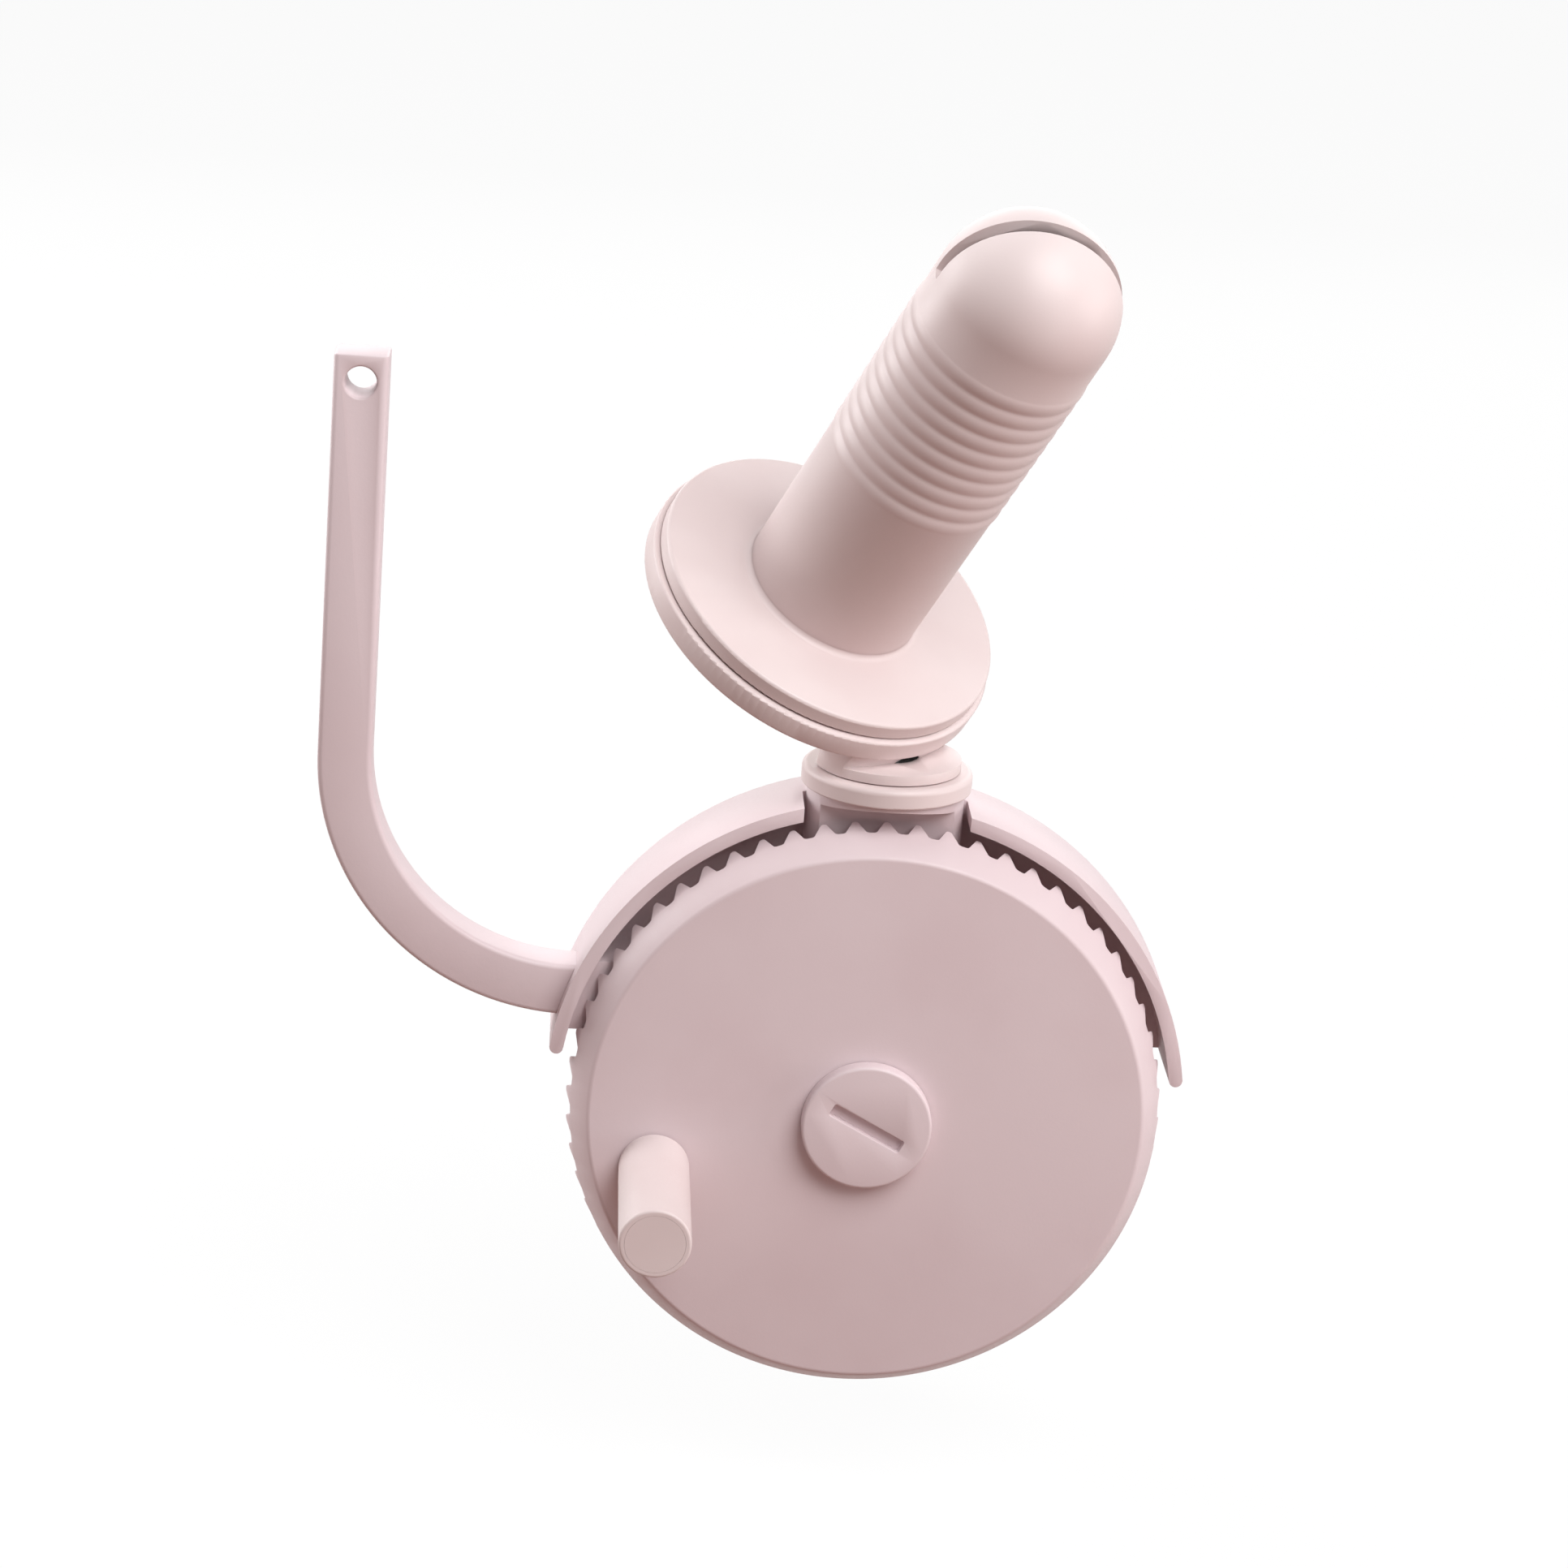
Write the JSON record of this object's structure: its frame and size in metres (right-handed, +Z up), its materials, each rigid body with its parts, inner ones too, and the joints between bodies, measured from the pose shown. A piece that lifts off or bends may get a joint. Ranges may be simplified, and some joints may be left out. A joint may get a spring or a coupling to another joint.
{
  "type": "yarn ball winder",
  "caption": "Hand-cranked table-clamp winder: a toothed crank wheel under a half-round guard turns a tilted, domed spindle beside a bent guide arm with a yarn eye.",
  "frame": {"origin": "centre of the upper clamp jaw's flat underside, where it rests on the table top", "axes": "+Z up, the crank wheel's face looks along -Y, the guide arm stands on the -X side"},
  "size_m": [0.1792, 0.114, 0.2603],
  "materials": {
    "pink_plastic": "satin",
    "pale_plastic": "satin",
    "white_plastic": "satin",
    "steel": "satin"
  },
  "bodies": {
    "frame": {"housing": "pink_plastic", "tower_collar": "pale_plastic", "tower_bush": "white_plastic", "center_post": "steel", "post_nut": "steel", "sun_gear": "white_plastic", "thrust_washer": "steel", "axle_bolt": "pink_plastic", "axle_washer": "steel", "clamp_frame": "pink_plastic", "frame_screws": "steel"},
    "arm": {"guide_arm": "pink_plastic"},
    "crank": {"drive_wheel": "pink_plastic", "wheel_bush": "white_plastic", "handle_pin": "steel"},
    "grip": {"handle_grip": "pale_plastic", "grip_cap": "pale_plastic"},
    "head": {"tilt_head": "pale_plastic", "carriage_shaft": "steel", "drive_pinion": "pale_plastic", "pinion_screw": "steel", "spindle_bush": "white_plastic"},
    "spindle": {"spindle_body": "pale_plastic", "spindle_flange": "pale_plastic", "spindle_shaft": "steel", "spindle_gear": "white_plastic", "spindle_washer": "steel", "spindle_screw": "steel"},
    "pad": {"clamp_pad": "pale_plastic"},
    "screw": {"clamp_screw": "steel", "clamp_knob": "pink_plastic"}
  },
  "joints": [
    {"name": "crank_spin", "type": "hinge", "parent": "frame", "child": "crank", "pos_m": [0, -0.057, -0.02], "axis": [0, 1, 0], "continuous": true},
    {"name": "grip_spin", "type": "hinge", "parent": "crank", "child": "grip", "pos_m": [-0.0423, -0.057, -0.03213], "axis": [0, 1, 0], "continuous": true},
    {"name": "head_spin", "type": "hinge", "parent": "frame", "child": "head", "pos_m": [0, -0.0378, 0.046], "axis": [0, 0, 1], "continuous": true},
    {"name": "spindle_spin", "type": "hinge", "parent": "head", "child": "spindle", "pos_m": [0, -0.0378, 0.11106], "axis": [0.3734, -0.4104, 0.832], "continuous": true},
    {"name": "arm_slide", "type": "slide", "parent": "frame", "child": "arm", "axis": [-1, 0, 0], "range_m": [0, 0.01]},
    {"name": "pad_slide", "type": "slide", "parent": "frame", "child": "pad", "axis": [0, 0, 1], "range_m": [-0.012, 0.023]},
    {"name": "screw_spin", "type": "hinge", "parent": "pad", "child": "screw", "pos_m": [0, 0, -0.05], "axis": [0, 0, 1], "range_deg": [-1445, 2765]}
  ],
  "couplings": [
    {"joint": "head_spin", "follows": "crank_spin", "ratio": 5},
    {"joint": "spindle_spin", "follows": "crank_spin", "ratio": 0.83333},
    {"joint": "screw_spin", "follows": "pad_slide", "rad_per_m": 2094.4}
  ]
}
